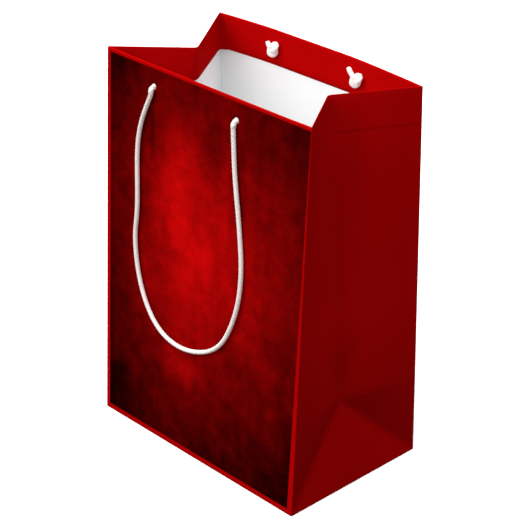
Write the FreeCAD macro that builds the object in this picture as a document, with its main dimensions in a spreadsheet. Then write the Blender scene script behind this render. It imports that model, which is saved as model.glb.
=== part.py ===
"""Paper gift bag with two cord handles.

The bag stands on Z = 0 with its origin at the middle of its bottom. X runs across the front panel, the front
panel is on the -Y side and Z is up. The shell is one sheet of laminated paper, modelled as the panels between
its creases: a front and a back wall that lean in towards the mouth, two side gussets folded inwards along
their middle, and the flaps that close the bottom. The top edge is turned in as a hem over a stiffening card,
and each cord goes through two holes in a wall and is knotted inside.
"""
import FreeCAD, Part
import math
import os
import Sketcher

DIMENSIONS = [
    ("bag_width", 200, "front panel from side edge to side edge"),
    ("bag_depth", 125, "front edge to back edge at the bottom"),
    ("panel_height", 285, "front or back panel, along the paper"),
    ("front_lean", 2.7, "degrees that the front wall leans in at the top"),
    ("back_lean", 0.4, "degrees that the back wall leans in at the top"),
    ("paper", 0.3, "laminated paper thickness"),
    ("fold_gap", 0.3, "clearance where two panels meet at a crease that moves"),
    ("hem_depth", 27, "turned-in band round the mouth"),
    ("hem_inset", 2.5, "each end of a wall's hem, in from the side edge"),
    ("card_depth", 25, "stiffening card inside a wall's hem"),
    ("card_thick", 0.8, "stiffening card thickness"),
    ("card_inset", 4, "each end of the stiffening card, in from the side edge"),
    ("hole_spacing", 82, "between the two cord holes of a wall"),
    ("hole_radius", 2.2, "punched cord hole"),
    ("front_hole_shift", -9, "middle of the front pair of holes along X"),
    ("back_hole_shift", -5.8, "middle of the back pair of holes along X"),
    ("front_hole_drop", 15, "front holes below the top edge"),
    ("back_hole_drop", 16.5, "back holes below the top edge"),
    ("cord_diameter", 3.2, "twisted cord"),
    ("cord_stand_off", 2.4, "cord centre line outside the wall's outer face"),
    ("cord_gap", 0.3, "between the cord in a hole and the turning loop"),
    ("knot_ring", 2.6, "middle radius of the knot's turn of cord"),
    ("tail_length", 10, "cord end beyond the knot, from the middle of its turn"),
    ("tail_lean", 25, "degrees that the cord end leans to the left"),
    ("tail_rise", 1.2, "cord end's centre line inside the middle of the turn"),
    ("right_fold_depth", 34, "right gusset fold at the top, in from the side"),
    ("left_fold_depth", 41.5, "left gusset fold at the top, in from the side"),
    ("left_fold_shift", -3, "left gusset fold at the top, along Y"),
    ("fold_drop", 1, "gusset fold below the corners at the top"),
    ("crease_inset", 16, "point where the gusset creases meet, in from the side"),
    ("seam_width", 15, "glued seam flap"),
    ("seam_start", 30, "lower end of the seam flap above the bottom"),
    ("flap_inset", 0.8, "bottom flaps, in from the outer faces"),
    ("front_flap_reach", 72, "front bottom flap, from the front edge"),
    ("back_flap_reach", 78, "back bottom flap, from the back edge"),
    ("side_flap_reach", 48, "side bottom flaps, from the side edge"),
    ("board_inset", 2, "loose base board, in from the outer faces"),
    ("board_thick", 1, "loose base board thickness"),
]

# Cord routes on the wall's face, hole to hole: across the wall and down from its top edge, in millimetres.
# The holes themselves are added at both ends.
FRONT_ROUTE = [
    (-53, 29), (-62, 56), (-66.5, 90), (-66, 132), (-59, 170), (-40, 196), (-10, 201.5),
    (24, 187), (40, 155), (45, 122), (40.5, 86), (34.5, 52), (32.6, 31),
]
BACK_ROUTE = [
    (-49.5, 31.5), (-56, 59.5), (-61, 94.5), (-60, 133.5), (-51, 168.5), (-33, 193.5), (-4, 202.5),
    (25, 195.5), (44, 170.5), (51.5, 135.5), (51, 96.5), (44.5, 60.5), (38, 32),
]
ARC_SHARE = 0.45  # share of the shorter run that a rounded corner takes

FRONT, BACK = -1, 1
LEFT, RIGHT = -1, 1
END_NAMES = {FRONT: "front", BACK: "back"}
SIDE_NAMES = {LEFT: "left", RIGHT: "right"}

Vector = FreeCAD.Vector
doc = FreeCAD.newDocument("gift_bag")
sheet = doc.addObject("Spreadsheet::Sheet", "Sheet")
for row, (alias, value, meaning) in enumerate(DIMENSIONS, start=1):
    sheet.set(f"A{row}", meaning)
    sheet.set(f"B{row}", str(value))
    sheet.setAlias(f"B{row}", alias)
doc.recompute()
nodes = []


def size(expression):
    """The value of an expression on the sheet's cells."""
    return float(sheet.evalExpression(expression))


def keep(thing, label):
    """Name a finished sub-part and put it on the list of nodes."""
    thing.Label = label
    nodes.append(thing)
    return thing


# ---------------------------------------------------------------- flat pieces: sketches and pads

def draw_outline(sketch, corners):
    """Close straight lines through corners, each a pair of expressions bound to the sheet."""
    places = [Vector(size(across), size(along), 0) for across, along in corners]
    lines = [
        sketch.addGeometry(Part.LineSegment(place, places[(index + 1) % len(places)]), False)
        for index, place in enumerate(places)
    ]
    for index, line in enumerate(lines):
        following = lines[(index + 1) % len(lines)]
        sketch.addConstraint(Sketcher.Constraint("Coincident", line, 2, following, 1))
    for line, (across, along) in zip(lines, corners):
        bind_point(sketch, line, 1, across, along)


def draw_hole(sketch, across, along, radius):
    """A round hole whose centre and radius are bound to the sheet."""
    centre = Vector(size(across), size(along), 0)
    circle = sketch.addGeometry(Part.Circle(centre, Vector(0, 0, 1), size(radius)), False)
    bind_point(sketch, circle, 3, across, along)
    bind_constraint(sketch, Sketcher.Constraint("Radius", circle, size(radius)), radius)


def bind_point(sketch, element, point, across, along):
    """Fix one point of a sketch element by two expressions; "0" puts it on the axis."""
    for kind, axis, expression in (("DistanceX", -2, across), ("DistanceY", -1, along)):
        if expression == "0":
            sketch.addConstraint(Sketcher.Constraint("PointOnObject", element, point, axis))
        else:
            rule = Sketcher.Constraint(kind, element, point, size(expression))
            bind_constraint(sketch, rule, expression)


def bind_constraint(sketch, rule, expression):
    index = sketch.addConstraint(rule)
    sketch.renameConstraint(index, f"size_{index}")
    sketch.setExpression(f"Constraints.size_{index}", expression)


def padded_body(label, plane_role, offset, thick, is_reversed, corners, holes=()):
    """A flat piece: an outline with round holes on one of the body's planes, padded to its thickness."""
    body = doc.addObject("PartDesign::Body", label)
    sketch = body.newObject("Sketcher::SketchObject", f"{label}_outline")
    plane = next(item for item in body.Origin.OriginFeatures if item.Role == plane_role)
    sketch.AttachmentSupport = (plane, [""])
    sketch.MapMode = "FlatFace"
    sketch.setExpression("AttachmentOffset.Base.z", offset)
    draw_outline(sketch, corners)
    for across, along, radius in holes:
        draw_hole(sketch, across, along, radius)
    pad = body.newObject("PartDesign::Pad", f"{label}_pad")
    pad.Profile = sketch
    pad.Reversed = is_reversed
    pad.setExpression("Length", thick)
    return keep(body, label)


def lean(end):
    return f"Sheet.{END_NAMES[end]}_lean"


def set_on_wall(thing, end):
    """Stand a piece on a wall's bottom edge and lean it in with that wall."""
    thing.Placement = wall_place(end)
    thing.setExpression("Placement.Base.y", f"{end} * Sheet.bag_depth / 2")
    return thing


def wall_place(end):
    """A wall's own frame: its origin is the middle of the wall's bottom edge on the outer face."""
    rotation = FreeCAD.Rotation(Vector(end, 0, 0), size(lean(end)))
    return FreeCAD.Placement(Vector(0, end * size("Sheet.bag_depth / 2"), 0), rotation)


def hole_across(end, side):
    return f"Sheet.{END_NAMES[end]}_hole_shift + {side} * Sheet.hole_spacing / 2"


def hole_height(end):
    return f"Sheet.panel_height - Sheet.{END_NAMES[end]}_hole_drop"


def wall_plate(end, label, start, thick, inset, low, high="Sheet.panel_height"):
    """A layer of a wall: start is its distance inside the wall's outer face, inset is its side margin."""
    half = f"(Sheet.bag_width / 2 - {inset})"
    corners = [(f"-{half}", low), (half, low), (half, high), (f"-{half}", high)]
    holes = [(hole_across(end, side), hole_height(end), "Sheet.hole_radius") for side in (LEFT, RIGHT)]
    body = padded_body(label, "XZ_Plane", f"{end} * ({start})", thick, end == FRONT, corners, holes)
    return set_on_wall(body, end)


def wall(end):
    """The panel, the card glued inside its top, and the hem turned in over the card."""
    name = END_NAMES[end]
    top = "Sheet.panel_height"
    card_start = "Sheet.paper"
    hem_start = "Sheet.paper + Sheet.card_thick"
    wall_plate(end, f"{name}_panel", "0 * Sheet.paper", "Sheet.paper", "0", "0")
    wall_plate(end, f"{name}_hem_card", card_start, "Sheet.card_thick", "Sheet.card_inset",
               f"{top} - Sheet.card_depth")
    wall_plate(end, f"{name}_hem", hem_start, "Sheet.paper", "Sheet.hem_inset", f"{top} - Sheet.hem_depth")


# ---------------------------------------------------------------- bottom: four flaps and a loose board

def level_plate(label, start, thick, corners):
    return padded_body(label, "XY_Plane", start, thick, False, corners)


def end_flap(end, layer, reach):
    """The front or back panel's bottom flap, folded in flat across the whole width."""
    half = "(Sheet.bag_width / 2 - Sheet.flap_inset)"
    outer = f"{end} * (Sheet.bag_depth / 2 - Sheet.flap_inset)"
    inner = f"{end} * (Sheet.bag_depth / 2 - {reach})"
    corners = [(f"-{half}", outer), (half, outer), (half, inner), (f"-{half}", inner)]
    level_plate(f"{END_NAMES[end]}_bottom_flap", f"{layer} * Sheet.paper", "Sheet.paper", corners)


def side_flap(side):
    """A gusset's bottom flap: a trapezium whose ends are folded at 45 degrees."""
    outer = f"{side} * (Sheet.bag_width / 2 - Sheet.flap_inset)"
    inner = f"{side} * (Sheet.bag_width / 2 - Sheet.side_flap_reach)"
    long_half = "(Sheet.bag_depth / 2 - Sheet.flap_inset)"
    short_half = "(Sheet.bag_depth / 2 - Sheet.side_flap_reach)"
    corners = [(outer, f"-{long_half}"), (outer, long_half), (inner, short_half), (inner, f"-{short_half}")]
    level_plate(f"{SIDE_NAMES[side]}_bottom_flap", "2 * Sheet.paper", "Sheet.paper", corners)


def base_board():
    half_width = "(Sheet.bag_width / 2 - Sheet.board_inset)"
    half_depth = "(Sheet.bag_depth / 2 - Sheet.board_inset)"
    corners = [
        (f"-{half_width}", f"-{half_depth}"), (half_width, f"-{half_depth}"),
        (half_width, half_depth), (f"-{half_width}", half_depth),
    ]
    level_plate("base_board", "3 * Sheet.paper + 0.05", "Sheet.board_thick", corners)


# ---------------------------------------------------------------- gussets: twisted panels, built as shapes

def shaped(label, shape):
    """A sub-part whose shape is worked out from the sheet."""
    thing = doc.addObject("Part::Feature", label)
    thing.Shape = shape
    thing.Placement = FreeCAD.Placement()
    return keep(thing, label)


def facet(side, layer, *corners):
    """A flat facet of paper: a polygon given its thickness towards the bag's inside, with layer sheets
    of paper outside it."""
    inward = Vector(-side * size("Sheet.paper"), 0, 0)
    outline = [corner + inward * layer for corner in corners]
    return Part.Face(Part.makePolygon(outline + [outline[0]])).extrude(inward)


def gusset_half(side, end):
    """Half of a gusset, from a wall's edge to the fold: the foot under the diagonal crease, the panel above
    it, which twists from the corner edge to the fold, and the hem turned in at the top."""
    name = f"{SIDE_NAMES[side]}_gusset_{END_NAMES[end]}"
    paper = size("Sheet.paper")
    gap = size("Sheet.fold_gap")
    half_width = size("Sheet.bag_width / 2")
    half_depth = size("Sheet.bag_depth / 2")
    height = size("Sheet.panel_height")
    angle = math.radians(size(lean(end)))
    shell = paper + gap
    foot_level = shell
    inset = size("Sheet.crease_inset")
    fold_depth = size(f"Sheet.{SIDE_NAMES[side]}_fold_depth")
    fold_shift = size("Sheet.left_fold_shift") if side == LEFT else 0
    crease_height = math.sqrt(half_depth ** 2 - inset ** 2)

    corner_low = Vector(side * half_width, end * (half_depth - shell), foot_level)
    corner_high = Vector(side * half_width, end * (half_depth - shell - height * math.sin(angle)),
                         height * math.cos(angle))
    fold_high = Vector(side * (half_width - fold_depth), fold_shift + end * gap / 2,
                       height - size("Sheet.fold_drop"))
    crease = Vector(side * (half_width - inset), end * gap / 2, crease_height)
    foot_middle = Vector(side * half_width, end * gap / 2, foot_level)

    outer, inner = (
        facet(side, layer, corner_low, corner_high, crease).fuse(
            facet(side, layer, corner_high, fold_high, crease)
        ).removeSplitter()
        for layer in (0, 1)
    )
    shaped(f"{name}_panel", outer)
    shaped(f"{name}_foot", facet(side, 0, corner_low, crease, foot_middle))

    hem_depth = size("Sheet.hem_depth")
    reach = half_width + half_depth
    band = Part.makeBox(2 * reach, 2 * reach, hem_depth, Vector(-reach, -reach, height - hem_depth))
    shaped(f"{name}_hem", inner.common(band))

    if (side, end) == (RIGHT, BACK):
        seam_flap(inner, corner_low, corner_high)


def seam_flap(inner, corner_low, corner_high):
    """The strip that joins the sheet's two ends, glued inside the gusset along the back corner: inner is
    the whole layer just inside the gusset's paper."""
    width = size("Sheet.seam_width")
    low = size("Sheet.seam_start")
    high = size("Sheet.panel_height - Sheet.hem_depth - 1")
    slope = (corner_high.y - corner_low.y) / (corner_high.z - corner_low.z)
    outline = [
        Vector(0, corner_low.y + slope * level + shift, level)
        for level, shift in ((low, -width), (low, 1), (high, 1), (high, -width))
    ]
    strip = Part.Face(Part.makePolygon(outline + [outline[0]])).extrude(Vector(corner_low.x + 1, 0, 0))
    shaped("side_seam_flap", inner.common(strip))


# ---------------------------------------------------------------- cords and knots

def cord_stub(end, side):
    """The short length of cord in a hole, from the knot to just outside the wall."""
    body = doc.addObject("PartDesign::Body", f"{END_NAMES[end]}_cord_in_{SIDE_NAMES[side]}_hole")
    sketch = body.newObject("Sketcher::SketchObject", f"{body.Name}_section")
    plane = next(item for item in body.Origin.OriginFeatures if item.Role == "XZ_Plane")
    sketch.AttachmentSupport = (plane, [""])
    sketch.MapMode = "FlatFace"
    layers = "(2 * Sheet.paper + Sheet.card_thick + Sheet.cord_diameter / 2)"
    outside = "(Sheet.cord_stand_off - Sheet.cord_diameter / 2 - Sheet.cord_gap)"
    sketch.setExpression("AttachmentOffset.Base.z", f"{end} * {layers}")
    draw_hole(sketch, hole_across(end, side), hole_height(end), "Sheet.cord_diameter / 2")
    pad = body.newObject("PartDesign::Pad", f"{body.Name}_pad")
    pad.Profile = sketch
    pad.Reversed = end == BACK
    pad.setExpression("Length", f"{layers} + {outside}")
    keep(body, body.Name)
    return set_on_wall(body, end)


def knot(end, side):
    """The knot inside a wall: one turn of cord flat against the hem, and the cut end standing up."""
    label = f"{END_NAMES[end]}_{SIDE_NAMES[side]}_knot"
    turn = doc.addObject("Part::Torus", f"{label}_turn")
    turn.setExpression("Radius1", "Sheet.knot_ring")
    turn.setExpression("Radius2", "Sheet.cord_diameter / 2")
    turn.Placement = FreeCAD.Placement(Vector(), FreeCAD.Rotation(Vector(1, 0, 0), 90))
    tail = doc.addObject("Part::Cylinder", f"{label}_tail")
    tail.setExpression("Radius", "Sheet.cord_diameter / 2")
    tail.setExpression("Height", "Sheet.tail_length")
    leaning = FreeCAD.Rotation(Vector(0, 1, 0), -size("Sheet.tail_lean"))
    tail.Placement = FreeCAD.Placement(Vector(0, -end * size("Sheet.tail_rise"), 0), leaning)
    whole = doc.addObject("Part::Fuse", label)
    whole.Base = turn
    whole.Tool = tail
    inside = size("2 * Sheet.paper + Sheet.card_thick + Sheet.cord_diameter / 2")
    spot = Vector(size(hole_across(end, side)), -end * inside, size(hole_height(end)))
    local = FreeCAD.Placement(spot, FreeCAD.Rotation())
    whole.Placement = wall_place(end).multiply(local)
    return keep(whole, label)


def rounded_path(points):
    """Straight runs joined by tangent arcs, each arc as large as its two runs allow."""
    edges = []
    radii = []
    here = points[0]
    for before, corner, after in zip(points, points[1:], points[2:]):
        back = (before - corner).normalize()
        ahead = (after - corner).normalize()
        cut = ARC_SHARE * min(before.distanceToPoint(corner), after.distanceToPoint(corner))
        half_turn = (math.pi - back.getAngle(ahead)) / 2
        radius = cut / math.tan(half_turn)
        middle = corner + (back + ahead).normalize() * (radius / math.cos(half_turn) - radius)
        edges.append(Part.LineSegment(here, corner + back * cut).toShape())
        edges.append(Part.Arc(corner + back * cut, middle, corner + ahead * cut).toShape())
        here = corner + ahead * cut
        radii.append(radius)
    edges.append(Part.LineSegment(here, points[-1]).toShape())
    return Part.Wire(edges), radii


def handle(end, route):
    """A cord loop hanging flat against its wall, with round ends centred on the line that it swings about."""
    name = f"{END_NAMES[end]}_handle_cord"
    height = size("Sheet.panel_height")
    radius = size("Sheet.cord_diameter / 2")
    off = end * size("Sheet.cord_stand_off")
    ends = [(size(hole_across(end, side)), height - size(hole_height(end))) for side in (LEFT, RIGHT)]
    places = [ends[0], *route, ends[1]]
    points = [Vector(across, off, height - down) for across, down in places]
    path, radii = rounded_path(points)
    start_way = points[1] - points[0]
    section = Part.Wire(Part.makeCircle(radius, points[0], start_way))
    tube = path.makePipeShell([section], True, False)
    expected = math.pi * radius ** 2 * path.Length
    print(f"{name}: length {path.Length:.1f}, least radius {min(radii):.1f}, "
          f"volume {tube.Volume:.1f}, section times length {expected:.1f}")
    print("  radii", " ".join(f"{value:.0f}" for value in radii))
    caps = [
        Part.makeSphere(radius, points[index], points[index] - points[beside], 0, 90, 360)
        for index, beside in ((0, 1), (-1, -2))
    ]
    loop = doc.addObject("Part::Feature", name)
    loop.Shape = tube.fuse(caps).removeSplitter()
    loop.Placement = wall_place(end)
    return keep(loop, name)


# ---------------------------------------------------------------- the whole bag

for end in (FRONT, BACK):
    wall(end)
    for side in (LEFT, RIGHT):
        cord_stub(end, side)
        knot(end, side)
end_flap(BACK, 0, "Sheet.back_flap_reach")
end_flap(FRONT, 1, "Sheet.front_flap_reach")
for side in (LEFT, RIGHT):
    side_flap(side)
    for end in (FRONT, BACK):
        gusset_half(side, end)
base_board()
handle(FRONT, FRONT_ROUTE)
handle(BACK, BACK_ROUTE)
doc.recompute()

for thing in doc.Objects:
    if "Invalid" in thing.State or "Error" in thing.State:
        raise RuntimeError(f"{thing.Label} failed: {thing.State}")
os.makedirs("parts", exist_ok=True)
for node in nodes:
    if node.Shape.isNull() or not node.Shape.isValid() or not node.Shape.Solids:
        raise RuntimeError(f"{node.Label} has no valid solid")
    node.Shape.exportStep(f"parts/{node.Label}.step")
    print(f"{node.Label}: {len(node.Shape.Solids)} solid, {node.Shape.Volume:.1f} cubic mm")
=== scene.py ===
import math
import bmesh
import bpy
from mathutils import Matrix, Vector, noise


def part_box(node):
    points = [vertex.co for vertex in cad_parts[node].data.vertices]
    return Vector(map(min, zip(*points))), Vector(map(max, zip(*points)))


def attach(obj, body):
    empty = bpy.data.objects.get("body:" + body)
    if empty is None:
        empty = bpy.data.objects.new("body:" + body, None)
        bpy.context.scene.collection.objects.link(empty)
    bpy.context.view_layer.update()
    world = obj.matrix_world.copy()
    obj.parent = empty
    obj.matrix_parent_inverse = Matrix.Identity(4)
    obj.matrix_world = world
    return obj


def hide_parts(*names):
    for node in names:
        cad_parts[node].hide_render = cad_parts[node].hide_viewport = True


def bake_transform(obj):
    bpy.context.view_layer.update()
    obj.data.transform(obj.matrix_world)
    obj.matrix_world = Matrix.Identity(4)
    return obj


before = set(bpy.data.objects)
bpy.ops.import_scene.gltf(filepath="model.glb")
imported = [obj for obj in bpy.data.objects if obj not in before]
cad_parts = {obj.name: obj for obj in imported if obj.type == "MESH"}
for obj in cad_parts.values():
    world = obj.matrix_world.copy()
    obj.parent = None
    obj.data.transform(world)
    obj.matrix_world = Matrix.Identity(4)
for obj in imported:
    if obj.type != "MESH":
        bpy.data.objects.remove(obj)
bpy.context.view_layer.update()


# ---------------------------------------------------------------- camera
# It stands off the bag's front right corner and looks down over the front wall into the mouth.
# The long lens keeps the upright edges nearly parallel.
view_turn = math.radians(46.178)
view_drop = math.radians(27.093)
view_roll = math.radians(0.304)
camera_data = bpy.data.cameras.new("camera")
camera_data.sensor_width = 36
camera_data.lens = 121.35
camera = bpy.data.objects.new("camera", camera_data)
camera.matrix_world = (
    Matrix.Translation((0.818, -0.77786, 0.71278))
    @ Matrix.Rotation(view_turn, 4, "Z")
    @ Matrix.Rotation(math.pi / 2 - view_drop, 4, "X")
    @ Matrix.Rotation(view_roll, 4, "Z")
)
bpy.context.scene.collection.objects.link(camera)
bpy.context.scene.camera = camera


# ---------------------------------------------------------------- handle cords
# Each handle is one length of soft white cord, three strands laid together. It comes out of the left hole
# of its wall, hangs down the outside in a loose loop and goes back in at the right hole.
FRONT, BACK = -1, 1
LEFT, RIGHT = -1, 1
NAMES = {FRONT: "front", BACK: "back"}
SIDES = {LEFT: "left", RIGHT: "right"}
PAPER = 0.0003
CARD = 0.0008
CORD = 0.0032
STAND_OFF = 0.0024  # the hanging cord's middle, out from the wall
BULGE = 0.2  # how much fatter the cord is where it squeezes out of a hole, as a share of its radius
BULGE_AT = 0.0068  # from the cord's end
STRANDS = 3
LAY_PITCH = 0.0085  # length of cord in which a strand goes once round
GROOVE = 0.17  # depth of the grooves between strands, as a share of the radius

# across the wall and down from its top edge, in metres, between the two holes
FRONT_ROUTE = [
    (-0.0545, 0.029), (-0.0612, 0.045), (-0.0643, 0.064), (-0.0636, 0.088), (-0.0632, 0.110),
    (-0.0665, 0.134), (-0.059, 0.170), (-0.040, 0.196), (-0.010, 0.2015), (0.024, 0.187),
    (0.040, 0.155), (0.045, 0.122), (0.0405, 0.086), (0.0345, 0.052), (0.0326, 0.031),
]
BACK_ROUTE = [
    (-0.0495, 0.0315), (-0.056, 0.0595), (-0.061, 0.0945), (-0.060, 0.1335), (-0.051, 0.1685),
    (-0.033, 0.1935), (-0.004, 0.2025), (0.025, 0.1955), (0.044, 0.1705), (0.0515, 0.1355),
    (0.051, 0.0965), (0.0445, 0.0605), (0.038, 0.032),
]

# how far in each side edge of a wall is drawn at the top, where across the wall that starts, and the
# power with which it grows: the back wall bellies outwards between its corners
DRAWN_IN = {
    (FRONT, LEFT): (0.0, 0.05, 1.0),
    (FRONT, RIGHT): (0.0, 0.05, 1.0),
    (BACK, LEFT): (0.0045, 0.045, 1.6),
    (BACK, RIGHT): (0.0065, 0.025, 1.5),
}


class Wall:
    """The front or back wall's own frame: across the bag, up along the paper, out from its outer face."""

    def __init__(self, end):
        self.end = end
        self.name = NAMES[end]
        low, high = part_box(f"{self.name}_panel")
        self.half = high.x
        self.lean = math.atan2(high.y - low.y - PAPER, high.z)
        self.height = high.z / math.cos(self.lean)
        edge = Vector((0, low.y if end == FRONT else high.y, 0))
        self.frame = Matrix.Translation(edge) @ Matrix.Rotation(self.lean, 4, Vector((end, 0, 0)))

    def drawn_in(self, across, up):
        depth, start, power = DRAWN_IN[(self.end, LEFT if across < 0 else RIGHT)]
        beyond = max(0.0, abs(across) - start) / (self.half - start)
        return depth * beyond ** power * up / self.height

    def at(self, across, up, out=0.0):
        return self.frame @ Vector((across, self.end * (out - self.drawn_in(across, up)), up))

    def hole(self, side):
        """Across and up of the middle of a cord hole."""
        low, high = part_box(f"{self.name}_cord_in_{SIDES[side]}_hole")
        middle = self.frame.inverted() @ ((low + high) / 2)
        return middle.x, middle.z


def cord_line(name, places):
    """Points along the smooth line that the places steer."""
    curve = bpy.data.curves.new(name, "CURVE")
    curve.dimensions = "3D"
    spline = curve.splines.new("NURBS")
    spline.points.add(len(places) - 1)
    for point, place in zip(spline.points, places):
        point.co = (*place, 1)
    spline.order_u = 3
    spline.use_endpoint_u = True
    spline.resolution_u = 36
    holder = bpy.data.objects.new(name, curve)
    line = bpy.data.meshes.new_from_object(holder)
    points = [vertex.co.copy() for vertex in line.vertices]
    bpy.data.objects.remove(holder)
    bpy.data.curves.remove(curve)
    bpy.data.meshes.remove(line)
    return points


def shaped_grid(columns, rows, place):
    """A grid of faces with each vertex moved to the place of its column and row. The list of columns and
    rows that comes with it is in the order of the vertices."""
    mesh = bmesh.new()
    bmesh.ops.create_grid(mesh, x_segments=columns, y_segments=rows, size=0.5)
    spots = []
    for vertex in mesh.verts:
        spots.append((round((vertex.co.x + 0.5) * columns), round((vertex.co.y + 0.5) * rows)))
        vertex.co = place(*spots[-1])
    return mesh, spots


def piece(name, mesh, *materials):
    """A finished bmesh as a smooth object of the scene."""
    data = bpy.data.meshes.new(name)
    mesh.to_mesh(data)
    mesh.free()
    data.shade_smooth()
    for material in materials:
        data.materials.append(material)
    thing = bpy.data.objects.new(name, data)
    bpy.context.scene.collection.objects.link(thing)
    return thing


def laid_cord(name, points, material, thick=1.0, swell=0.0, swell_at=0.0):
    """Three strands laid together round a line, fatter by swell at swell_at from each end. The lay attribute
    turns with the strands: its first two numbers are the place in the cord's section and the third is the
    length along it."""
    sides = 24
    last = len(points) - 1
    ahead = (points[1] - points[0]).normalized()
    side_way = ahead.orthogonal().normalized()
    travelled = 0.0
    rings = []
    for index, point in enumerate(points):
        following = points[min(index + 1, last)] - points[max(index - 1, 0)]
        turn = ahead.rotation_difference(following)
        ahead = following.normalized()
        side_way = (turn @ side_way).normalized()
        travelled += (point - points[max(index - 1, 0)]).length
        rings.append((point, side_way, ahead.cross(side_way), travelled))

    def ring_spot(column, row):
        point, across_way, up_way, length = rings[row]
        from_end = min(length, travelled - length)
        worn = min(1.0, 0.72 + 0.28 * math.sqrt(from_end / (CORD / 2)))
        fat = thick + swell * max(0.0, 1 - ((from_end - swell_at) / CORD) ** 2)
        around = math.tau * column / sides
        strand = around - math.tau * length / LAY_PITCH
        lobe = abs(math.cos(strand * STRANDS / 2))
        radius = CORD / 2 * worn * fat * (1 - GROOVE * (1 - lobe ** 0.6))
        return point + (across_way * math.cos(around) + up_way * math.sin(around)) * radius

    mesh, spots = shaped_grid(sides, last, ring_spot)
    lay = mesh.verts.layers.float_vector.new("lay")
    for vertex, (column, row) in zip(mesh.verts, spots):
        strand = math.tau * (column / sides - rings[row][3] / LAY_PITCH)
        vertex[lay] = Vector((math.cos(strand), math.sin(strand), rings[row][3] / CORD))
    bmesh.ops.remove_doubles(mesh, verts=mesh.verts, dist=1e-6)
    rims = [edge for edge in mesh.edges if edge.is_boundary]
    bmesh.ops.holes_fill(mesh, edges=rims, sides=0)
    bmesh.ops.recalc_face_normals(mesh, faces=mesh.faces)
    return piece(name, mesh, material)


class Signal:
    """A socket of a shader, with arithmetic that adds Math nodes."""

    def __init__(self, shader, socket):
        self.shader = shader
        self.socket = socket

    def math(self, operation, first, second):
        return self.shader.node("ShaderNodeMath", {"operation": operation}, {0: first, 1: second})

    def __add__(self, other):
        return self.math("ADD", self, other)

    def __sub__(self, other):
        return self.math("SUBTRACT", self, other)

    def __rsub__(self, other):
        return self.math("SUBTRACT", other, self)

    def __mul__(self, other):
        return self.math("MULTIPLY", self, other)

    def __pow__(self, other):
        return self.math("POWER", self, other)

    __radd__ = __add__
    __rmul__ = __mul__

    def at_least(self, other):
        return self.math("MAXIMUM", self, other)

    def at_most(self, other):
        return self.math("MINIMUM", self, other)

    def clamped(self):
        return self.at_least(0.0).at_most(1.0)


class Shader:
    """The nodes of a material or of the sky, and the one that they feed."""

    def __init__(self, owner, fed):
        owner.use_nodes = True
        self.nodes = owner.node_tree.nodes
        self.links = owner.node_tree.links
        self.fed = self.nodes[fed]

    def node(self, kind, settings, values, output=0):
        """Add a node: its settings first, then the values or links of its sockets."""
        made = self.nodes.new(kind)
        for name, setting in settings.items():
            if name == "stops":
                for index, (position, colour) in enumerate(setting):
                    if index > 1:
                        made.color_ramp.elements.new(position)
                    made.color_ramp.elements[index].position = position
                    made.color_ramp.elements[index].color = (*colour, 1)
            else:
                setattr(made, name, setting)
        for socket, value in values.items():
            self.feed(made.inputs[socket], value)
        return Signal(self, made.outputs[output])

    def feed(self, socket, value):
        if isinstance(value, Signal):
            self.links.new(value.socket, socket)
        elif socket.type == "RGBA":
            socket.default_value = (*value, 1)
        else:
            socket.default_value = value

    def drive(self, **values):
        """Set or link sockets of the node that the others feed."""
        for socket, value in values.items():
            self.feed(self.fed.inputs[socket.replace("_", " ")], value)


class Paint(Shader):
    """A material of this object."""

    def __init__(self, name, **uniform):
        self.material = bpy.data.materials.new(name)
        super().__init__(self.material, "Principled BSDF")
        self.drive(**uniform)

    def object_place(self):
        return self.node("ShaderNodeTexCoord", {}, {}, "Object")

    def sheet_place(self):
        return self.node("ShaderNodeUVMap", {"uv_map": "paper"}, {})

    def stretched(self, place, scale, turn=0.0):
        return self.node("ShaderNodeMapping", {}, {"Vector": place, "Scale": scale, "Rotation": (0, 0, turn)})

    def noise(self, place, scale, detail=2.0, rough=0.5, twist=0.0):
        values = {"Vector": place, "Scale": scale, "Detail": detail, "Roughness": rough, "Distortion": twist}
        return self.node("ShaderNodeTexNoise", {}, values, "Fac")

    def mix(self, first, second, share):
        return self.node("ShaderNodeMix", {"data_type": "RGBA"}, {0: share, 6: first, 7: second}, 2)

    def bump(self, height, distance, normal=None):
        values = {"Height": height, "Distance": distance, "Strength": 1.0}
        if normal is not None:
            values["Normal"] = normal
        return self.node("ShaderNodeBump", {}, values)


def cord_material():
    """Off-white spun fibre: fine hairs along each strand, a little dirt in the grooves between them. A faint
    warm glow is painted light, and the pink in its off-white is partly painted bounce from the red paper.
    """
    # painted light: a faint warm glow that lifts the strands' shaded sides
    paint = Paint("white_cord", Roughness=0.9, Sheen_Weight=0.35, Sheen_Roughness=0.6, Specular_IOR_Level=0.1,
                  Emission_Color=(1.0, 0.86, 0.82), Emission_Strength=0.14)
    lay = paint.node("ShaderNodeAttribute", {"attribute_name": "lay"}, {}, "Vector")
    fibres = paint.noise(paint.stretched(lay, (9.0, 9.0, 0.9)), 1.0, 3.0, 0.6)
    patches = paint.noise(lay, 0.35, 2.0)
    shade = (0.62 * fibres + 0.5 * patches).clamped()
    colour = paint.mix((0.80, 0.74, 0.71), (0.95, 0.91, 0.89), shade)
    paint.drive(Base_Color=colour, Normal=paint.bump(fibres, 0.00022))
    return paint.material


walls = {end: Wall(end) for end in (FRONT, BACK)}
white_cord = cord_material()


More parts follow.
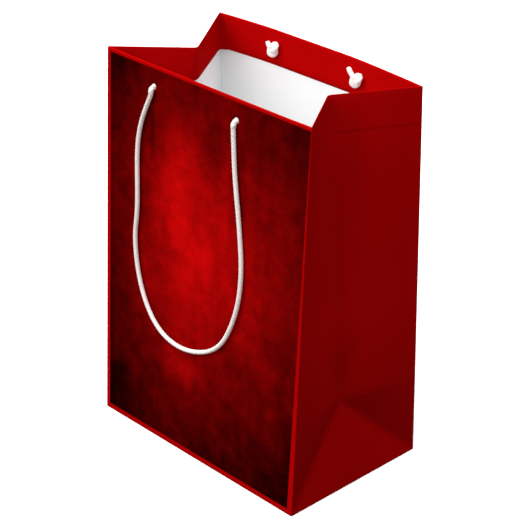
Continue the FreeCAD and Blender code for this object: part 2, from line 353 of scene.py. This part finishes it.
def hang_handle(wall, route):
    """A handle from inside its left hole, round its loop, to inside its right hole."""
    left, right = wall.hole(LEFT), wall.hole(RIGHT)

    def through(hole):
        """Out of the knot, through the hole and over into the hanging part."""
        across, up = hole
        return [
            wall.at(across, up, -0.0036), wall.at(across, up, -0.0012),
            wall.at(across, up - 0.0004, 0.0012), wall.at(across, up - 0.0024, 0.0028),
            wall.at(across, up - 0.0058, 0.0027),
        ]

    hanging = [wall.at(across, wall.height - down, STAND_OFF) for across, down in route]
    points = cord_line(f"{wall.name}_handle_line", through(left) + hanging + through(right)[::-1])
    length = sum((after - before).length for before, after in zip(points, points[1:]))
    cord = laid_cord(f"{wall.name}_handle", points, white_cord, swell=BULGE, swell_at=BULGE_AT)
    hole_z = wall.at(*left).z
    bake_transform(cord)
    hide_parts(f"{wall.name}_handle_cord", f"{wall.name}_cord_in_left_hole",
                f"{wall.name}_cord_in_right_hole")
    return cord, points, length


handles = {FRONT: hang_handle(walls[FRONT], FRONT_ROUTE), BACK: hang_handle(walls[BACK], BACK_ROUTE)}


# ---------------------------------------------------------------- knots
# Inside the bag each cord end is tied in a single overhand knot, which can't pull back through its hole.
# The cut end is left standing up and to the left.
KNOT_SIZE = 0.00172  # the outer turns of a knot are three of this from its middle
KNOT_RISE = 0.0034  # a knot's middle above its hole
KNOT_ASIDE = 0.0022  # and to the right of it, as seen from inside
KNOT_THICK = 1.15  # the tied cord bunches up
KNOT_PLACES = 13
# for each knot: how far its turns are rolled round and which way its cut end leans, in degrees, and that
# end's length in metres
KNOT_ENDS = {
    (BACK, LEFT): (4, 120, 0.0046),
    (BACK, RIGHT): (-8, 129, 0.0072),
    (FRONT, LEFT): (16, 134, 0.0060),
    (FRONT, RIGHT): (-3, 115, 0.0055),
}


def tie_knot(wall, side):
    roll, cut_lean, tail = KNOT_ENDS[(wall.end, side)]
    across, up = wall.hole(side)
    inner_face = 2 * PAPER + CARD

    def on_hem(right, rise, off):
        """A place beside the hole, as seen from inside the bag."""
        return wall.at(across + wall.end * right, up + rise, -inner_face - off)

    spin = Matrix.Rotation(math.radians(240 + roll), 2)
    first, last = math.radians(222), math.radians(510)
    turns = []
    for index in range(KNOT_PLACES):
        angle = first + (last - first) * index / (KNOT_PLACES - 1)
        sideways = -math.sin(angle) - 2 * math.sin(2 * angle)
        upwards = math.cos(angle) - 2 * math.cos(2 * angle)
        flat = spin @ Vector((sideways, upwards))
        off = CORD / 2 + 0.0016 - 0.0015 * math.sin(3 * angle)
        turns.append((flat.x * KNOT_SIZE + KNOT_ASIDE, flat.y * KNOT_SIZE + KNOT_RISE, off))
    end_right, end_rise, end_off = turns[-1]
    lean = math.radians(cut_lean)
    tail_places = [
        (end_right + math.cos(lean) * reach, end_rise + math.sin(lean) * reach, end_off + lift)
        for reach, lift in ((0.4 * tail, 0.0003), (0.7 * tail, 0.0004), (tail, 0.0003))
    ]
    places = [(0, 0, -0.0022), (0, 0, 0.0005), (-0.0004, 0.0006, 0.0016), *turns, *tail_places]
    points = cord_line(f"{wall.name}_{SIDES[side]}_knot_line", [on_hem(*place) for place in places])
    knot = laid_cord(f"{wall.name}_{SIDES[side]}_cord_knot", points, white_cord, thick=KNOT_THICK)
    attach(knot, f"{wall.name}_wall")
    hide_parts(f"{wall.name}_{SIDES[side]}_knot")
    return knot


for end, (cord, points, length) in handles.items():
    knots = [tie_knot(walls[end], side) for side in (LEFT, RIGHT)]
    walls[end].at(*walls[end].hole(LEFT))


# ---------------------------------------------------------------- front and back walls
# Each wall is one stretch of the printed, laminated sheet: creased round the side corners, tucked under at
# the bottom, and turned in over the hem card at the mouth. Cord holes are punched through both layers.
CREASE = 0.0008  # paper on each side that a crease bends
HEM_DEPTH = 0.027
HEM_CURL = (0.0003, 0.0036)  # the hem's bend inside a corner, at the top edge and at its raw edge
FOLD_RADIUS = 0.0007
HOLE = 0.0022
WAVE = 0.0006
SETTLE = 0.0022  # width of the hem's raw edge that comes down off the card
PRESS = {FRONT: 0.0012, BACK: 0.0026}  # how far a gusset's leaf sinks beside its slanting foot crease


def smooth(share):
    share = min(1.0, max(0.0, share))
    return share * share * (3 - 2 * share)


class Gusset:
    """A side gusset: two leaves that fold in along its middle over a triangular foot."""

    def __init__(self, side):
        self.side = side
        self.name = f"{SIDES[side]}_gusset"
        half = walls[FRONT].half
        panel_low, panel_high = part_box(f"{self.name}_back_panel")
        foot_low, foot_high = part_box(f"{self.name}_back_foot")
        inner = min if side == RIGHT else max
        self.fold_inset = half - PAPER - abs(inner(panel_low.x, panel_high.x))
        self.crease_inset = half - PAPER - abs(inner(foot_low.x, foot_high.x))
        self.crease_height = foot_high.z
        self.fold_shift = min(0.0, panel_low.y)
        self.fold_top = walls[FRONT].height - 0.001

    def fold(self, level):
        """How far in from the side the middle fold is at a level, and its place along Y."""
        share = (level - self.crease_height) / (self.fold_top - self.crease_height)
        share = min(1.0, max(0.0, share))
        inset = self.crease_inset + (self.fold_inset - self.crease_inset) * share
        return inset, self.fold_shift * share

    def edge(self, end, level):
        """The gusset's edge along a wall: its place along Y."""
        return walls[end].at(self.side * walls[end].half, level / math.cos(walls[end].lean)).y

    def slope(self, end, level):
        inset, middle = self.fold(level)
        return inset / abs(self.edge(end, level) - middle)

    def way(self, end, level):
        """The level direction from a corner along the gusset."""
        return Vector((-self.side * self.slope(end, level), -end, 0)).normalized()

    def inset(self, y, level):
        """How far in from the side the gusset's outer face is. The middle fold is rounder between the
        foot's point and the mouth than it is at either."""
        leaves = []
        for end in (FRONT, BACK):
            from_edge = max(0.0, end * (self.edge(end, level) - y))
            leaves.append(self.slope(end, level) * from_edge)
        foot = max(0.0, self.crease_inset * level / self.crease_height)
        fold = 0.003 + 0.013 * smooth((level - 0.066) / 0.05) * smooth((0.280 - level) / 0.04)
        return soft_least(soft_least(*leaves, fold), foot, 0.0012) + self.pressed(y, level)

    def pressed(self, y, level):
        """How far the paper has sunk beside a slanting foot crease."""
        up = min(1.0, max(0.0, level / self.crease_height))
        middle = self.fold(level)[1]
        end = FRONT if y < middle else BACK
        edge = self.edge(end, level)
        share = min(1.0, max(0.0, (edge - y) / (edge - middle)))
        return 4 * PRESS[end] * min(share * (1 - up), up * (1 - share))


def soft_least(first, second, width):
    """The lesser of two lengths, rounded where they differ by less than the width."""
    width = min(width, first, second)
    if width <= 0:
        return min(first, second)
    near = max(0.0, 1 - abs(first - second) / width)
    return min(first, second) - near * near * width / 4


gussets = {side: Gusset(side) for side in (LEFT, RIGHT)}


def bend(before, corner, after, share):
    """A crease: the curve that leaves one face at before and joins the next at after."""
    return before * (1 - share) ** 2 + corner * (2 * share * (1 - share)) + after * share ** 2


def even_lines(marks, step):
    """The marks and, between each two, lines evenly spaced no further apart than step."""
    lines = [marks[0]]
    for before, after in zip(marks, marks[1:]):
        count = math.ceil((after - before) / step - 1e-6)
        lines += [before + (after - before) * (index + 1) / count for index in range(count)]
    return lines


HOLE_LINES = [-0.0046, -0.8 * HOLE, -0.4 * HOLE, 0, 0.4 * HOLE, 0.8 * HOLE, 0.0046]


def fold_over(paper, height):
    """Where a place along the paper, up from the bottom, has got to: its height, and how far it has
    turned over the mouth's edge, from 0 on the outer face to 1 on the hem."""
    start = height - FOLD_RADIUS
    turned = (paper - start) / (math.pi * FOLD_RADIUS)
    if turned <= 0:
        return paper, 0.0
    if turned >= 1:
        return start - (paper - start - math.pi * FOLD_RADIUS), 1.0
    return start, turned


def hem_lines(height):
    """Lines along the paper round the top fold, for a sheet that ends in a hem."""
    start = height - FOLD_RADIUS
    return [start + math.pi * FOLD_RADIUS * index / 6 for index in range(1, 7)]


def hem_curl(up, height):
    depth = (height - up) / HEM_DEPTH
    return HEM_CURL[0] + (HEM_CURL[1] - HEM_CURL[0]) * smooth(depth)


def inner_corner(wall, side, up):
    """Where the two hems' faces would meet inside a corner, and the way along the gusset there."""
    gusset = gussets[side]
    corner = wall.at(side * wall.half, up)
    way = gusset.way(wall.end, corner.z)
    across = Vector((side, 0, 0))
    sine = abs(way.y)
    return corner - across * (2 * PAPER / sine) + way * ((2 * PAPER + CARD) / sine), way


def turned_over(outer, inner, turned):
    """A place in the fold at the mouth, between the outer face and the hem."""
    half = (outer - inner) / 2
    lift = half.length * math.sin(math.pi * turned)
    return (outer + inner) / 2 + half * math.cos(math.pi * turned) + Vector((0, 0, lift))


def wall_outer(wall, across, up):
    """The outer face, creased round the corners."""
    flat = wall.half - CREASE
    if abs(across) <= flat:
        edge_fade = smooth((flat - abs(across)) / 0.02) * smooth(up / 0.03)
        edge_fade *= smooth((wall.height - 0.035 - up) / 0.03)
        sway = noise.noise(Vector((across * 9, up * 7, 3.1 * wall.end))) - 0.5
        return wall.at(across, up, WAVE * edge_fade * sway)
    side = LEFT if across < 0 else RIGHT
    corner = wall.at(side * wall.half, up)
    way = gussets[side].way(wall.end, corner.z)
    share = (abs(across) - flat) / (2 * CREASE)
    return bend(wall.at(side * flat, up), corner, corner + way * CREASE, share)


def wall_inner(wall, across, up):
    """The hem's face, bent into the corners with a softer curve."""
    side = LEFT if across < 0 else RIGHT
    flat = wall.half - CREASE
    corner, way = inner_corner(wall, side, up)
    curl = hem_curl(up, wall.height) * math.tan(math.pi / 4 + math.asin(abs(way.x)) / 2)
    start = corner - Vector((side * curl, 0, 0))
    if abs(across) > flat:
        return bend(start, corner, corner + way * curl, (abs(across) - flat) / (2 * CREASE))
    lost = (flat - abs(start.x)) * smooth((abs(across) - 0.06) / (flat - 0.06))
    settled = min(1.0, max(0.0, (wall.height - HEM_DEPTH + SETTLE - up) / SETTLE))
    return wall.at(across - side * lost, up, -2 * PAPER - CARD * (1 - settled))


def wall_tuck(wall, across, paper):
    """The bottom edge, tucked under towards the bag's middle."""
    face = wall_outer(wall, across, CREASE)
    edge = wall_outer(wall, across, 0)
    inward = Vector((0, -wall.end, 0))
    flat = wall.half - CREASE
    if abs(across) > flat:
        side_in = Vector((-1 if across > 0 else 1, 0, 0))
        inward = inward.lerp(side_in, (abs(across) - flat) / (2 * CREASE)).normalized()
    return bend(edge + inward * CREASE, edge, face, paper / CREASE)


def cut_holes(mesh, spots, holes):
    """Punch each hole: the grid lines round it are drawn onto its circle and the faces inside deleted."""
    by_spot = dict(zip(spots, mesh.verts))
    gone = set()
    for column, row in holes:
        ring = [(i, j) for i in range(-2, 3) for j in range(-2, 3) if max(abs(i), abs(j)) == 2]
        middle = by_spot[(column, row)].co.copy()
        along = (by_spot[(column + 2, row)].co - middle).normalized()
        upward = (by_spot[(column, row + 2)].co - middle).normalized()
        for i, j in ring:
            angle = math.atan2(j, i)
            outward = along * math.cos(angle) + upward * math.sin(angle)
            by_spot[(column + i, row + j)].co = middle + outward * HOLE
        inside = {by_spot[(column + i, row + j)] for i in range(-1, 2) for j in range(-1, 2)}
        gone |= inside
    bmesh.ops.delete(mesh, geom=list(gone), context="VERTS")


def map_paper(mesh, spots, columns, rows):
    """Give a sheet its own map: metres across the paper and metres up along it."""
    paper = mesh.loops.layers.uv.new("paper")
    mesh.verts.index_update()
    for face in mesh.faces:
        for loop in face.loops:
            column, row = spots[loop.vert.index]
            loop[paper].uv = (columns[column], rows[row])


def thicken(thing, thickness, rim=1):
    """The sheet's thickness, inwards from its printed face. Its back has the second material, and so do
    its raw edges when rim is 1."""
    solid = thing.modifiers.new("paper_thickness", "SOLIDIFY")
    solid.thickness = thickness
    solid.offset = -1
    solid.use_even_offset = False
    solid.material_offset = 1
    solid.material_offset_rim = rim


BORDER_RED = (0.47, 0.0010, 0.0014)
HEM_SHOWS = 0.2575  # up along a gusset's paper, where the hem's raw edge shows through as a faint step


def red_paper(name, has_picture):
    """Laminated red paper. A wall's print is a bright cloudy glow that darkens towards a plain border, and
    a gusset's plain red darkens towards the bottom, which is painted shade."""
    paint = Paint(name, Roughness=0.42, IOR=1.01)
    place = paint.sheet_place()
    grain = paint.noise(place, 1400.0, 2.0)
    faint = paint.noise(place, 24.0, 3.0)
    colour = paint.mix(tuple(0.93 * part for part in BORDER_RED), BORDER_RED, faint)
    normal = paint.bump(paint.noise(place, 16.0, 2.0), 0.0006, paint.bump(grain, 0.00002))
    if has_picture:
        colour = paint.mix(colour, *glow_print(paint, place))
    else:
        up = paint.node("ShaderNodeSeparateXYZ", {}, {0: place}, "Y")
        bands = paint.noise(paint.stretched(place, (40.0, 1.6, 1.0)), 1.0, 2.0)
        colour = paint.mix(tuple(0.78 * part for part in BORDER_RED), colour, (1.7 * bands).clamped())
        # painted shade: a gusset's red darkens over its lowest 13 cm, to 0.6 of itself at the floor
        colour = paint.mix(tuple(0.6 * part for part in BORDER_RED), colour, (up * (1 / 0.13)).clamped())
        normal = paint.bump(((up - HEM_SHOWS) * 450.0).clamped(), 0.0002, normal)
    rubbed = paint.noise(paint.stretched(place, (60.0, 18.0, 1.0), 0.5), 1.0, 4.0, 0.6)
    paint.drive(Base_Color=colour, Roughness=0.34 + 0.18 * rubbed, Normal=normal)
    return paint.material


# darker and brighter smudges in the print: middle across and up, reach each way, strength
SMUDGES = (
    ((-0.051, 0.238), (0.003, 0.026), -0.09),
    ((0.008, 0.247), (0.014, 0.034), -0.12),
    ((0.035, 0.215), (0.010, 0.048), -0.12),
    ((-0.024, 0.212), (0.022, 0.052), 0.10),
    ((-0.018, 0.068), (0.030, 0.018), 0.12),
    ((0.046, 0.090), (0.020, 0.026), -0.08),
)


def smudge(across, up, middle, reach):
    """1 in the middle of an oval patch, fading to 0 at its edge."""
    beside = (across - middle[0]) * (1 / reach[0])
    above = (up - middle[1]) * (1 / reach[1])
    return (1.0 - (beside * beside + above * above)).at_least(0.0)


def glow_print(paint, place):
    """The printed picture and its mask inside the border."""
    across = paint.node("ShaderNodeSeparateXYZ", {}, {0: place}, "X")
    up = paint.node("ShaderNodeSeparateXYZ", {}, {0: place}, "Y")
    beside = across + 0.010
    aside = (beside * (1 / 0.145)).at_least(beside * (-1 / 0.090))
    above = (up - 0.166) * (1 / 0.152)
    spread = (aside * aside + above * above) ** 0.5
    clouds = paint.noise(place, 30.0, 4.0, 0.6, 0.4)
    blots = paint.noise(place, 95.0, 4.0, 0.65, 0.3)
    specks = paint.noise(place, 420.0, 3.0, 0.7)
    streaks = paint.noise(paint.stretched(place, (70.0, 7.0, 1.0)), 1.0, 3.0)
    scratches = paint.noise(paint.stretched(place, (210.0, 9.0, 1.0), math.radians(52)), 1.0, 2.0)
    level = 0.84 - 0.52 * spread
    for middle, reach, strength in SMUDGES:
        level = level + strength * smudge(across, up, middle, reach)
    level = level + 0.30 * (clouds - 0.5) + 0.26 * (blots - 0.5) + 0.14 * (specks - 0.5)
    level = level + 0.18 * (streaks - 0.5) + 0.6 * (scratches - 0.66).at_least(0.0)
    ink = paint.mix((0.0004, 0.0, 0.0), (1.0, 0.0030, 0.0035), 1.02 * level.clamped() ** 2.4)
    mask = edge_ramp(across + 0.096) * edge_ramp(0.0953 + 0.0146 * up - across)
    mask = mask * edge_ramp(up - 0.0045) * edge_ramp(0.2826 - up)
    return ink, mask


def edge_ramp(inside):
    """A crisp printed edge, a fifth of a millimetre wide."""
    return (inside * 5000.0 + 0.5).clamped()


def plain_paper(name, glued_from):
    """The sheet's unprinted white back. Above glued_from along the paper it is glued face to face and red."""
    # painted light: the paper glows faintly in its own colour, lifting the shaded inside of the bag
    paint = Paint(name, Roughness=0.8, Specular_IOR_Level=0.1, Emission_Strength=0.04)
    place = paint.sheet_place()
    fibres = paint.noise(place, 600.0, 4.0, 0.6)
    cloud = paint.noise(place, 60.0, 3.0)
    colour = paint.mix((0.89, 0.915, 0.92), (0.935, 0.96, 0.965), 0.5 * fibres + 0.5 * cloud)
    up = paint.node("ShaderNodeSeparateXYZ", {}, {0: place}, "Y")
    colour = paint.mix(colour, BORDER_RED, edge_ramp(up - glued_from))
    paint.drive(Base_Color=colour, Emission_Color=colour, Normal=paint.bump(fibres, 0.00004))
    return paint.material


wall_red = red_paper("printed_wall", True)
side_red = red_paper("printed_gusset", False)
paper_back = plain_paper("white_paper_back", 1.0)
gusset_back = plain_paper("gusset_paper_back", walls[FRONT].height - HEM_DEPTH + 0.0005)


def wall_sheet(wall):
    holes = [wall.hole(side) for side in (LEFT, RIGHT)]
    hole_up = holes[0][1]
    flat = wall.half - CREASE
    corner_lines = [flat + 2 * CREASE * index / 6 for index in range(1, 7)]
    marks = [across + line for across, up in holes for line in HOLE_LINES]
    middle_lines = even_lines([-flat, *marks, flat], 0.0042)
    columns = [-line for line in corner_lines[::-1]] + middle_lines + corner_lines

    top = wall.height - FOLD_RADIUS
    raw_edge = wall.height - HEM_DEPTH
    hole_marks = [hole_up + line for line in HOLE_LINES]
    turned_from = top + math.pi * FOLD_RADIUS
    hem_ups = [*hole_marks[::-1], raw_edge + SETTLE, raw_edge]
    hem_marks = [turned_from + top - up for up in hem_ups]
    tuck_lines = [CREASE * index / 4 for index in range(4)]
    face_lines = even_lines([CREASE, *hole_marks, top], 0.0048)
    rows = tuck_lines + face_lines + hem_lines(wall.height)
    rows += even_lines([turned_from, *hem_marks], 0.0048)[1:]

    def spot(column, row):
        across, paper = columns[column], rows[row]
        if paper < CREASE:
            return wall_tuck(wall, across, paper)
        up, turned = fold_over(paper, wall.height)
        outer = wall_outer(wall, across, up)
        if turned == 0:
            return outer
        return turned_over(outer, wall_inner(wall, across, up), turned)

    mesh, spots = shaped_grid(len(columns) - 1, len(rows) - 1, spot)
    map_paper(mesh, spots, columns, rows)
    hole_columns = [nearest(columns, across) for across, up in holes]
    hole_rows = [nearest(rows, hole_up), nearest(rows, turned_from + top - hole_up)]
    cut_holes(mesh, spots, [(column, row) for column in hole_columns for row in hole_rows])
    if wall.end == BACK:
        bmesh.ops.reverse_faces(mesh, faces=mesh.faces)
    sheet = piece(f"{wall.name}_wall_paper", mesh, wall_red, paper_back)
    thicken(sheet, 0.00028)
    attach(sheet, f"{wall.name}_wall")
    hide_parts(f"{wall.name}_panel", f"{wall.name}_hem")


def nearest(values, wanted):
    return min(range(len(values)), key=lambda index: abs(values[index] - wanted))


for wall in walls.values():
    wall_sheet(wall)


# ---------------------------------------------------------------- side gussets
# The same sheet runs round each side as two leaves with a fold between them. Creases from the middle fold
# to the bottom corners leave a flat triangle at the foot, and the top is turned in with the walls' hem.
OVERLAP = 0.0002  # each leaf's paper carries on past the middle fold
TUCKED = 0.00006  # the back leaf's overlap lies this much under the front leaf's
LEAF_SKIN = 0.00005  # thin, so that face and hem don't cross
CORNER_STAYS = 0.007  # paper beside each corner, measured along the gusset from the wall's edge


def gusset_leaf(gusset, end):
    wall = walls[end]
    columns = [0.0, 0.004, *(index / 24 for index in range(1, 24)), 0.996, 1.0]
    tuck_lines = [CREASE * index / 3 for index in range(3)]
    top = wall.height - FOLD_RADIUS
    turned_from = top + math.pi * FOLD_RADIUS
    crease_up = gusset.crease_height
    lower = [CREASE + (crease_up - CREASE) * share for share in columns[:-1]]
    rows = tuck_lines + lower + even_lines([crease_up, wall.height - HEM_DEPTH, top], 0.0052)
    raw_edge = turned_from + HEM_DEPTH - FOLD_RADIUS
    rows += hem_lines(wall.height) + even_lines([turned_from, raw_edge], 0.0045)[1:]
    fold_z = gusset.fold_top / (wall.height * math.cos(wall.lean))

    def leaf(share, up, layer):
        """A place on the outer face, or on the hem when layer is 1, share of the way to the fold."""
        corner = wall.at(gusset.side * wall.half, up)
        level = corner.z * (1 + (fold_z - 1) * share * smooth(up / wall.height))
        inset, fold_y = gusset.fold(level)
        edge_y = gusset.edge(end, level)
        reach = CREASE
        if layer:
            sharp, way = inner_corner(wall, gusset.side, up)
            curl = hem_curl(up, wall.height) * math.tan(math.pi / 4 + math.asin(abs(way.x)) / 2)
            reach = (2 * PAPER + CARD) / abs(way.y) + curl
        start_y = edge_y - end * reach * abs(gusset.way(end, level).y)
        y = start_y + (fold_y - end * OVERLAP - start_y) * share
        deep = gusset.inset(y, level) + (TUCKED if share == 1 and end == BACK else 0.0)
        if layer:
            deep += 2 * PAPER / abs(gusset.way(end, level).y)
        else:
            deep += leaf_bow(gusset, end, share, level)
        return Vector((gusset.side * (wall.half - deep), y, level))

    def spot(column, row):
        share, paper = columns[column], rows[row]
        if paper < CREASE:
            face = leaf(share, CREASE, 0)
            edge = leaf(share, 0, 0)
            return bend(edge - Vector((gusset.side * CREASE, 0, 0)), edge, face, paper / CREASE)
        up, turned = fold_over(paper, wall.height)
        outer = leaf(share, up, 0)
        if turned == 0:
            return outer
        return turned_over(outer, leaf(share, up, 1), turned)

    mesh, spots = shaped_grid(len(columns) - 1, len(rows) - 1, spot)
    across = [wall.half + gusset.edge(BACK, 0) * share for share in columns]
    map_paper(mesh, spots, across, rows)
    by_spot = dict(zip(spots, mesh.verts))
    for index in range(len(columns) - 1):
        ends = [by_spot[(index + step, index + step + len(tuck_lines))] for step in (0, 1)]
        bmesh.ops.connect_verts(mesh, verts=ends)
    if end * gusset.side == 1:
        bmesh.ops.reverse_faces(mesh, faces=mesh.faces)
    sheet = piece(f"{gusset.name}_{NAMES[end]}_paper", mesh, side_red, gusset_back)
    thicken(sheet, LEAF_SKIN, rim=0)
    hang_gusset(sheet, gusset, end)
    node = f"{gusset.name}_{NAMES[end]}"
    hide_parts(f"{node}_panel", f"{node}_foot", f"{node}_hem")


def leaf_bow(gusset, end, share, level):
    """How far a leaf's paper bows in between its creases."""
    edges = math.sin(math.pi * share) * smooth(level / 0.02)
    edges *= smooth((walls[end].height - 0.004 - level) / 0.02)
    sway = noise.noise(Vector((gusset.side * 5.3 + end * 2.1, share * 1.3, level * 11)))
    return WAVE * edges * sway


def hang_gusset(sheet, gusset, end):
    """Bake the leaf's place into its mesh."""
    top = walls[end].height
    start = (0, gusset.edge(end, top) - end * CORNER_STAYS, 0)
    middle = (0, min(gusset.fold_shift, -0.0003) if end == FRONT else 0.0, 0)
    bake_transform(sheet)


for gusset in gussets.values():
    for end in (FRONT, BACK):
        gusset_leaf(gusset, end)


# ---------------------------------------------------------------- side seam
# The sheet's two ends overlap in a strip glued inside the right gusset, along the back corner.
# Only the strip's unprinted back can be seen, from inside the bag.
def seam_strip():
    gusset = gussets[RIGHT]
    low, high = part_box("side_seam_flap")
    rows = even_lines([low.z, high.z], 0.006)
    columns = [0.0012 + 0.0138 * index / 5 for index in range(6)]

    def spot(column, row):
        y = gusset.edge(BACK, rows[row]) - columns[column]
        deep = gusset.inset(y, rows[row]) + 1.15 * PAPER
        return Vector((walls[BACK].half - deep, y, rows[row]))

    mesh, spots = shaped_grid(len(columns) - 1, len(rows) - 1, spot)
    map_paper(mesh, spots, columns, rows)
    bmesh.ops.reverse_faces(mesh, faces=mesh.faces)
    strip = piece("glued_seam_strip", mesh, paper_back, paper_back)
    thicken(strip, LEAF_SKIN)
    hang_gusset(strip, gusset, BACK)
    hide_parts("side_seam_flap")


seam_strip()


# ---------------------------------------------------------------- hem cards
# A strip of stiff grey card is glued under each wall's hem, so that the cord can't tear the paper.
# The cord holes are punched through it as well.
def card_material(name, pale, dark, flecks):
    """Pulp card: short fibres and a few darker flecks."""
    paint = Paint(name, Roughness=0.9, Specular_IOR_Level=0.15)
    place = paint.object_place()
    pulp = paint.noise(place, 260.0, 5.0, 0.65)
    specks = (paint.noise(place, 900.0, 2.0, 0.5, 1.5) - 0.62).at_least(0.0) * flecks
    colour = paint.mix(pale, dark, (pulp + specks).clamped())
    paint.drive(Base_Color=colour, Normal=paint.bump(pulp, 0.00008))
    return paint.material


CARD_ENDS = 0.096
CARD_SPAN = (0.025, 0.0011)  # from its lower edge to its upper one, down from the mouth


def hem_card(wall, material):
    holes = [wall.hole(side) for side in (LEFT, RIGHT)]
    marks = [across + line for across, up in holes for line in HOLE_LINES]
    columns = even_lines([-CARD_ENDS, *marks, CARD_ENDS], 0.0042)
    low, high = (wall.height - down for down in CARD_SPAN)
    rows = even_lines([low, *(holes[0][1] + line for line in HOLE_LINES), high], 0.0048)

    def spot(column, row):
        return wall.at(columns[column], rows[row], -PAPER)

    mesh, spots = shaped_grid(len(columns) - 1, len(rows) - 1, spot)
    row = nearest(rows, holes[0][1])
    cut_holes(mesh, spots, [(nearest(columns, across), row) for across, up in holes])
    if wall.end == BACK:
        bmesh.ops.reverse_faces(mesh, faces=mesh.faces)
    card = piece(f"{wall.name}_hem_stiffener", mesh, material)
    solid = card.modifiers.new("card_thickness", "SOLIDIFY")
    solid.thickness = CARD - 0.00002
    solid.offset = -1
    solid.use_even_offset = False
    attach(card, f"{wall.name}_wall")
    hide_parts(f"{wall.name}_hem_card")


grey_card = card_material("grey_card", (0.50, 0.48, 0.45), (0.33, 0.31, 0.28), 6.0)
for wall in walls.values():
    hem_card(wall, grey_card)


# ---------------------------------------------------------------- bottom flaps
# The lower ends of the four panels, folded in over each other and glued. Red shows underneath and the
# paper's white back shows inside the bag.
def dress(node, material):
    """Give a CAD piece its material."""
    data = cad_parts[node].data
    data.materials.clear()
    data.materials.append(material)


def flap_material(node):
    low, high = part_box(node)
    paint = Paint(f"{node}_paper", Roughness=0.5, Specular_IOR_Level=0.12)
    place = paint.object_place()
    level = paint.node("ShaderNodeSeparateXYZ", {}, {0: place}, "Z")
    inside = ((level - (low.z + 0.8 * PAPER)) * 40000.0).clamped()
    scuffs = paint.noise(place, 45.0, 5.0, 0.7, 0.6)
    fibres = paint.noise(place, 600.0, 3.0)
    red = paint.mix(BORDER_RED, (0.52, 0.040, 0.036), (scuffs - 0.6).at_least(0.0) * 3.0)
    white = paint.mix((0.82, 0.82, 0.815), (0.89, 0.89, 0.885), fibres)
    rough = 0.42 + 0.35 * inside + 0.1 * scuffs
    paint.drive(Base_Color=paint.mix(red, white, inside), Roughness=rough, Normal=paint.bump(fibres, 0.00003))
    return paint.material


for name in ("front", "back", "left", "right"):
    dress(f"{name}_bottom_flap", flap_material(f"{name}_bottom_flap"))


# ---------------------------------------------------------------- base board
# A loose pale board lies on the flaps and spreads the weight of what is in the bag.
# It is cut from thicker pulp card than the hems' strips and isn't glued.
dress("base_board", card_material("pale_board", (0.80, 0.79, 0.77), (0.66, 0.65, 0.62), 3.0))


# ---------------------------------------------------------------- floor
# A wide pale sweep of matt paper, lit a little from below. It throws no light back at the bag.
# The bag stands on it at the height of its bottom crease.
def lay_floor():
    floor = bmesh.new()
    bmesh.ops.create_grid(floor, x_segments=8, y_segments=8, size=4.0)
    paint = Paint("floor_paper", Roughness=0.95, Specular_IOR_Level=0.0, Emission_Strength=0.22)
    cloud = paint.noise(paint.object_place(), 2.0)
    paint.drive(Base_Color=paint.mix((0.93, 0.93, 0.93), (0.95, 0.95, 0.95), cloud))
    thing = piece("floor", floor, paint.material)
    thing.visible_diffuse = False


lay_floor()


# ---------------------------------------------------------------- light
# A wide soft key light from the front left and above, and a sky that is brightest straight overhead.
SKY_BELOW = 0.08
SKY_ABOVE = 3.9


def soft_sun(name, way, strength, spread):
    """A broad far light that shines from way towards the bag."""
    light = bpy.data.lights.new(name, "SUN")
    light.energy = strength
    light.angle = math.radians(spread)
    thing = bpy.data.objects.new(name, light)
    thing.rotation_euler = Vector(way).to_track_quat("Z", "Y").to_euler()
    bpy.context.scene.collection.objects.link(thing)


soft_sun("key_light", (-0.14, -0.75, 0.62), 1.85, 55)
sky = Shader(bpy.data.worlds.new("studio"), "Background")
height = sky.node("ShaderNodeSeparateXYZ", {}, {0: sky.node("ShaderNodeTexCoord", {}, {}, "Generated")}, "Z")
sky.drive(Color=(1.0, 1.0, 1.0), Strength=SKY_BELOW + (SKY_ABOVE - SKY_BELOW) * height.at_least(0.0) ** 3.3)
bpy.context.scene.world = bpy.data.worlds["studio"]
bpy.context.scene.view_settings.view_transform = "Standard"
